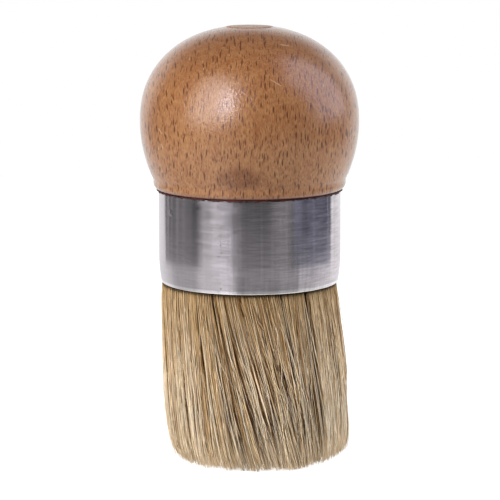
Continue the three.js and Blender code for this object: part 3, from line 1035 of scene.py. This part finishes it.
def add_hairs(name, rng, paths, radius, tone):
    """Hairs as closed three-sided tubes that taper to their tips."""
    hairs, stations = paths.shape[:2]
    spin = rng.uniform(0, TURN, (hairs, 1, 1)) + np.arange(3) * TURN / 3
    reach = (radius[:, None] * TAPER_SHARES)[..., None]
    level = np.zeros((hairs, stations, 3))
    ring = np.stack([reach * np.cos(spin), reach * np.sin(spin), level], -1)
    points = (paths[:, :, None, :] + ring).reshape(-1, 3)
    side = grid_faces(stations, 3)
    last = (stations - 1) * 3
    ends = np.array([[0, 2, 1, 1], [last, last + 1, last + 2, last + 2]])
    one_hair = np.concatenate([side, ends])
    faces = (one_hair[None] + (np.arange(hairs) * stations * 3)[:, None, None]).reshape(-1, 4)
    # Each hair has a narrow strip of the UV map
    width = 0.004
    rows, columns = one_hair // 3, one_hair % 3
    up = 0.01 + 0.98 * np.clip(STATION_SHARES, 0, 1)[rows]
    across = (columns * width / 2)[None]
    flat = across + (tone * (1 - 2 * width))[:, None, None] + width / 2
    uv = np.stack([flat, np.broadcast_to(up, flat.shape)], -1).reshape(-1, 4, 2)
    piece = add_mesh(name, points, faces, uv)
    piece.data.shade_smooth()
    return piece


STRAY_RADIUS = 0.085 * MM
STRAY_DEPTH = 0.3 * MM  # of their roots in the tuft's skin


class BRUSH_OT_tuft(bpy.types.Operator):
    """Sets the hog bristle"""

    bl_idname = "brush.add_tuft"
    bl_label = "Bristle tuft"

    def execute(self, context):
        settings = context.scene.brush_tuft
        material = bristle_material()
        skin_edge = MOUTH_RADIUS - settings.skin_depth
        rng = np.random.default_rng(2024)
        radius, bearing = hair_roots(rng, settings.outer_hairs, skin_edge, MOUTH_RADIUS)
        paths, lock = hair_paths(rng, settings, radius, bearing, *SKIN_LOCKS)
        tone = hair_tones(rng, lock, bearing)
        thick = settings.hair_radius * rng.uniform(0.75, 1.2, len(radius))
        sectors = 8
        sector = np.floor(bearing / TURN * sectors).astype(int)
        for number in range(sectors):
            mine = sector == number
            piece = add_hairs(f"bristles_{number + 1}", rng, paths[mine], thick[mine], tone[mine])
            finish_piece(piece, material, "hog_bristle", f"bristle_tuft_{number // 2 + 1}")
        radius, bearing = hair_roots(rng, settings.inner_hairs, 0, skin_edge)
        paths, lock = hair_paths(rng, settings, radius, bearing, *CORE_LOCKS)
        tone = hair_tones(rng, lock, bearing)
        thick = settings.core_hair_radius * rng.uniform(0.75, 1.2, len(radius))
        for number in range(2):
            mine = (bearing < np.pi) == (number == 0)
            piece = add_hairs(f"core_bristles_{number + 1}", rng, paths[mine], thick[mine], tone[mine])
            finish_piece(piece, material, "hog_bristle")
        strays = settings.stray_hairs
        bearing = rng.uniform(0, TURN, strays)
        radius = MOUTH_RADIUS - rng.uniform(0, 1, strays) * STRAY_DEPTH
        paths, lock = hair_paths(rng, settings, radius, bearing, *STRAY_LOCKS, settings.stray_reach)
        tone = rng.uniform(0.55, 0.82, strays)
        piece = add_hairs("stray_bristles", rng, paths, STRAY_RADIUS * rng.uniform(0.7, 1.2, strays), tone)
        finish_piece(piece, material, "hog_bristle")
        return {"FINISHED"}


SKIN_THICKNESS = 1.6 * MM
SKIN_INSET = 0.8 * MM  # of its rim from the tube's outside
SKIN_CREEP = 0.5 * MM  # up the tube's wall


class BRUSH_OT_resin(bpy.types.Operator):
    """Casts the resin that holds the bristles"""

    bl_idname = "brush.add_resin"
    bl_label = "Resin setting"

    def execute(self, context):
        material = resin_material()
        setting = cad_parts["resin_setting"]
        setting.data.materials.clear()
        setting.data.materials.append(material)
        low = TUFT_TOP - SKIN_THICKNESS
        reach = FERRULE_RADIUS - SKIN_INSET
        profile = [
            (0, low),
            (reach * 0.8, low),
            (reach - SKIN_CREEP, low - 0.2 * SKIN_CREEP),
            (reach, low - SKIN_CREEP),
            (reach, TUFT_TOP),
            (0, TUFT_TOP),
        ]
        skin = add_turned("resin_skin", profile, 96)
        finish_piece(skin, material, "cast_resin")
        return {"FINISHED"}


# The stage and the camera

# The photograph's camera, from its fit: focal length in pixels over a 500-pixel frame
PHOTO_SIDE = 500
FOCAL_PIXELS = 2600
CAMERA_ELEVATION = np.radians(9.1)
CAMERA_ROLL = np.radians(0.1)
CAMERA_DISTANCE = 716 * MM
CAMERA_TARGET = Vector((0.07 * MM, 0, 57.1 * MM))

# Light in the room. Softboxes: turn from the camera's side towards +X and rise, both in degrees, how soft
# their edges are, and how much they add to the room's level.
ROOM_LEVEL = 0.1
AMBIENT_LEVEL = 0.34  # of the light on matt surfaces, besides the lamps
SOFTBOXES = (
    ((-66, -20), (-6, 56), 9, 4.0),
    ((-29, -20), (10, 41), 3, 12),
)
RIGHT_BOX_LEVEL = 1.75
COLD_LIGHT = (0.87, 0.925, 1.19)  # of a window
# Lamps that nothing mirrors: name, turn and rise in degrees, side in metres, power in watts
LAMPS = (("key", -56, 28, 0.15, 7.6), ("fill", 78, 20, 0.2, 4.4))
LAMP_DISTANCE = 900 * MM
# Cards of light on the table past the white paper, which the steel shows: turn, softness, and what they add
# near the paper and far off
TABLE_NEAR = 340 * MM
TABLE_FAR = 540 * MM
TABLE_CARDS = (
    ((-400, 400), 1, 0.09, 0.035),
    ((-200, -129.5), 2.5, 0.74, 0.0),
    ((-200, -133), 3, 0.0, 0.76),
    ((-200, -75), 5, 0.08, 0.13),
    ((-125, -121.5), 0.8, 0.05, 0.3),
    ((-116, -112.5), 0.8, 0.0, 0.14),
    ((-105, -99.5), 0.8, 0.04, 0.14),
    ((-96, -86), 2, 0.03, 0.05),
    ((-63, -26), 6, 0.54, 0.0),
    ((-55, -32), 6, 0.16, 0.0),
    ((-48, -34), 4, 0.0, 0.27),
    ((-30, -10), 6, 0.26, 0.0),
    ((-14, 50), 5, 0.25, 0.0),
    ((36, 48), 3, 0.04, 0.04),
    ((54, 108), 4, 0.0, 0.05),
    ((84.6, 86.8), 0.6, 0.16, 0.16),
    ((107, 200), 2, 0.12, 0.0),
    ((113.6, 115.6), 0.7, 0.14, 0.42),
    ((119.5, 200), 3, 0.66, 0.0),
    ((122.5, 200), 3, 0.0, 0.92),
)
# A pale strip across the table's far edge
FAR_STRIP = 520 * MM
FAR_STRIP_CARD = ((28, 66), 7, 0.75)
FAR_STRIP_EDGE = 14 * MM
# Cards of light on the white paper under the brush: turn, softness and what they add
PAPER_RIM = 330 * MM
PAPER_EDGE = 48 * MM
# Where its light changes, out from the brush: in the brush's own shade, in a pool round that, and farther out
PAPER_SHADE = (28 * MM, 34 * MM)
PAPER_POOL = (30 * MM, 62 * MM, 6 * MM)
PAPER_RISE = (100 * MM, 210 * MM)
PAPER_GLOW = (60 * MM, 240 * MM)  # what matt surfaces get
PAPER_CARDS = (
    ((-200, -62), 6, 0.23),
    ((-200, -114), 12, 0.27),
    ((-200, -130), 6, 0.06),
    ((-64, -16.5), 7, 0.43),
    ((-50, -24), 5, 0.05),
    ((-33, -25), 3, 0.1),
    ((-8, 62), 6, 0.04),
    ((36, 200), 6, 0.06),
    ((62, 200), 2.5, 0.24),
    ((89, 200), 3, 0.12),
    ((103, 200), 6, 0.1),
    ((116, 200), 6, 0.14),
)


def right_box(add, east, north, up):
    """A leaning softbox on the right: four-sided on the plane x = 1, its lower edge level with the table.

    Its front edge is the line north = -0.25 - 0.35 up, its top edge the line up = 2.1 + north.
    """
    east = add("Math.MAXIMUM", east, 0.05)
    across = add("Math.DIVIDE", north, east)
    along = add("Math.DIVIDE", up, east)
    in_front = add("Math.MULTIPLY_ADD", along, 0.35, across)
    under_top = add("Math.SUBTRACT", along, across)
    box = window(add, in_front, -0.25, 9, 0.02)
    box = add("Math.MULTIPLY", box, window(add, along, -0.02, 9, 0.05))
    box = add("Math.MULTIPLY", box, window(add, under_top, -9, 2.1, 0.12))
    return add("Math.MULTIPLY", box, window(add, across, -9, 0.6, 0.06))


def cold_tint(add, turn, more=None):
    """The tint of the light by its turn: bluish on the right, where a window is, and where more says."""
    cold = window(add, turn, 56, 118, 5)
    if more:
        cold = add("Math.MULTIPLY_ADD", more, 0.6, cold)
    return add("Mix.RGBA", cold, (1, 1, 1, 1), rgba(COLD_LIGHT))


def table_level(add, turn, out=None):
    """The level of the table past the paper, at a distance from the brush, or far off."""
    far = add("MapRange.SMOOTHSTEP", out, TABLE_NEAR, TABLE_FAR, 0, 1) if out else None
    table = 0
    for (left, right), soft, near_level, far_level in TABLE_CARDS:
        level = add("MapRange", far, 0, 1, near_level, far_level) if out else far_level
        card = window(add, turn, left, right, soft)
        table = add("Math.MULTIPLY_ADD", card, level, table)
    if out:
        (left, right), soft, level = FAR_STRIP_CARD
        strip = add("MapRange", out, FAR_STRIP - FAR_STRIP_EDGE, FAR_STRIP + FAR_STRIP_EDGE, 0, level)
        card = window(add, turn, left, right, soft)
        table = add("Math.MULTIPLY_ADD", card, strip, table)
    return table


def light_level(add, direction):
    """The studio's light from a direction: white behind, a dark room, and softboxes left and right."""
    direction = add("SeparateXYZ", direction, out=None)
    east, north, up = (direction.outputs[axis] for axis in "XYZ")
    turn = turn_degrees(add, east, north)
    rise = add("Math.ARCSINE", up)
    rise = add("Math.DEGREES", rise)
    table = table_level(add, turn)
    low = add("MapRange.SMOOTHSTEP", rise, -6, 2, 1, 0)
    behind = window(add, turn, -126, 133, 4)
    behind = add("Math.SUBTRACT", 1, behind)
    ceiling = add("MapRange.SMOOTHSTEP", rise, 16, 40, 1, 0.05)
    back_wall = add("Math.MULTIPLY", behind, ceiling)
    room = add("Math.MULTIPLY_ADD", back_wall, 0.9, ROOM_LEVEL)
    for (left, right), (bottom, top), soft, strength in SOFTBOXES:
        box = window(add, turn, left, right, soft)
        box = add("Math.MULTIPLY", box, window(add, rise, bottom, top, soft))
        room = add("Math.MULTIPLY_ADD", box, strength, room)
    core = box  # of the highlight: the last softbox
    room = add("Math.MULTIPLY_ADD", right_box(add, east, north, up), RIGHT_BOX_LEVEL, room)
    level = add("Mix.FLOAT", low, room, table)
    tint = cold_tint(add, turn, core)
    return add("VectorMath.SCALE", tint, level)


FLOOR_RADIUS = 600 * MM
FLOOR_THICKNESS = 2 * MM
FLOOR_GAP = 0.02 * MM


class BRUSH_OT_stage(bpy.types.Operator):
    """Sets up the camera, the light and the floor"""

    bl_idname = "brush.add_stage"
    bl_label = "Stage"

    def execute(self, context):
        scene = context.scene
        scene.view_settings.view_transform = "Standard"
        camera_data = bpy.data.cameras.new("camera")
        camera_data.lens = FOCAL_PIXELS / PHOTO_SIDE * camera_data.sensor_width
        camera_data.clip_end = 20
        camera = bpy.data.objects.new("camera", camera_data)
        scene.collection.objects.link(camera)
        back = Vector((0, -np.cos(CAMERA_ELEVATION), np.sin(CAMERA_ELEVATION)))
        right = Vector((1, 0, 0))
        up = back.cross(right)
        level = Matrix((right, up, back)).transposed().to_4x4()
        place = Matrix.Translation(CAMERA_TARGET + back * CAMERA_DISTANCE)
        camera.matrix_world = place @ level @ Matrix.Rotation(-CAMERA_ROLL, 4, "Z")
        scene.camera = camera
        self.add_world(scene)
        self.add_floor(scene)
        for name, turn, rise, size, energy in LAMPS:
            self.add_lamp(scene, name, np.radians(turn), np.radians(rise), size, energy)
        return {"FINISHED"}

    def add_world(self, scene):
        """The room that steel and lacquer mirror, an even light on the rest, and white to the camera."""
        world = bpy.data.worlds.new("studio")
        scene.world = world
        world.use_nodes = True
        add = adder(world.node_tree)
        mirrored = light_level(add, add("TexCoord", out="Generated"))
        ray = add("LightPath", out=None).outputs
        level = add("Mix.RGBA", ray["Is Glossy Ray"], rgba([AMBIENT_LEVEL] * 3), mirrored)
        level = add("Mix.RGBA", ray["Is Camera Ray"], level, (1, 1, 1, 1))
        light = add("Background", Strength=1, Color=level)
        add("OutputWorld", Surface=light)

    def add_lamp(self, scene, name, turn, rise, size, energy):
        """A square lamp that nothing mirrors, at a turn from the camera's side and a rise."""
        lamp_data = bpy.data.lights.new(name, "AREA")
        lamp_data.size = size
        lamp_data.energy = energy
        lamp = bpy.data.objects.new(name, lamp_data)
        away = Vector((np.sin(turn) * np.cos(rise), -np.cos(turn) * np.cos(rise), np.sin(rise)))
        lamp.location = CAMERA_TARGET + away * LAMP_DISTANCE
        lamp.rotation_euler = away.to_track_quat("Z", "Y").to_euler()
        lamp.visible_glossy = False
        scene.collection.objects.link(lamp)

    def add_floor(self, scene):
        """White paper under the brush, as bright to the camera as the backdrop, less the brush's shadow."""
        rim, low = FLOOR_RADIUS, -FLOOR_THICKNESS
        profile = [(0, low), (rim, low), (rim, 0), (rim / 2, 0), (0, 0)]
        floor = add_turned("floor", profile, 96)
        floor.location.z = -FLOOR_GAP
        material, add = new_material("white_table")
        paper = add("BsdfDiffuse", Color=rgba(linear("BEBEBE")))
        place = add("TexCoord", out="Object")
        out = add("VectorMath.LENGTH", place)
        near = add("MapRange", out, *PAPER_GLOW, 0.6, 0.2)
        ray = add("LightPath", out=None)
        level = add("Mix.FLOAT", ray.outputs["Is Camera Ray"], near, 0.9)
        glow = add("Emission", Color=(1, 1, 1, 1), Strength=level)
        surface = add("AddShader", paper, glow)
        mirrored = add("Emission", Strength=1, Color=self.mirrored_light(add, place, out))
        surface = add("MixShader", ray.outputs["Is Glossy Ray"], surface, mirrored)
        add("OutputMaterial", Surface=surface)
        floor.data.materials.append(material)

    def mirrored_light(self, add, place, out):
        """What steel and lacquer show of the table: dim in front of the brush, bright beside and behind."""
        flat = add("SeparateXYZ", place, out=None)
        turn = turn_degrees(add, flat.outputs["X"], flat.outputs["Y"])
        level = add("MapRange", out, *PAPER_RISE, 0.24, 0.3)
        near = add("MapRange", out, *PAPER_SHADE, 0.1, 1)
        level = add("Math.MULTIPLY", level, near)
        under = window(add, out, *PAPER_POOL)
        level = add("Math.MULTIPLY_ADD", under, 0.5, level)
        for (left, right), soft, bright in PAPER_CARDS:
            card = window(add, turn, left, right, soft)
            level = add("Math.MULTIPLY_ADD", card, bright, level)
        past = add("MapRange", out, PAPER_RIM - PAPER_EDGE, PAPER_RIM + PAPER_EDGE, 0, 1)
        tint = add("Mix.RGBA", past, (1, 1, 1, 1), cold_tint(add, turn))
        level = add("Mix.FLOAT", past, level, table_level(add, turn, out))
        return add("VectorMath.SCALE", tint, level)


class BRUSH_PT_panel(bpy.types.Panel):
    """Lists the brush's pieces in the sidebar"""

    bl_idname = "BRUSH_PT_panel"
    bl_label = "Stencil brush"
    bl_space_type = "VIEW_3D"
    bl_region_type = "UI"
    bl_category = "Stencil brush"

    def draw(self, context):
        for name in OPERATOR_NAMES:
            self.layout.operator(f"brush.{name}")
        for group in SETTING_GROUPS:
            settings = getattr(context.scene, group)
            box = self.layout.box()
            for name in settings.__annotations__:
                box.prop(settings, name)


OPERATOR_NAMES = ("add_stage", "add_knob", "add_ferrule", "add_resin", "add_tuft")
SETTING_GROUPS = {
    "brush_knob": BrushKnobSettings,
    "brush_ferrule": BrushFerruleSettings,
    "brush_tuft": BrushTuftSettings,
}
CLASSES = (
    *SETTING_GROUPS.values(),
    BRUSH_OT_stage,
    BRUSH_OT_knob,
    BRUSH_OT_ferrule,
    BRUSH_OT_resin,
    BRUSH_OT_tuft,
    BRUSH_PT_panel,
)


def register():
    for item in CLASSES:
        bpy.utils.register_class(item)
    for name, group in SETTING_GROUPS.items():
        setattr(bpy.types.Scene, name, PointerProperty(type=group))


def unregister():
    for name in SETTING_GROUPS:
        delattr(bpy.types.Scene, name)
    for item in reversed(CLASSES):
        bpy.utils.unregister_class(item)


def main():
    """Registers the add-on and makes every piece."""
    register()
    for name in OPERATOR_NAMES:
        getattr(bpy.ops.brush, name)()


if __name__ == "__main__":
    main()
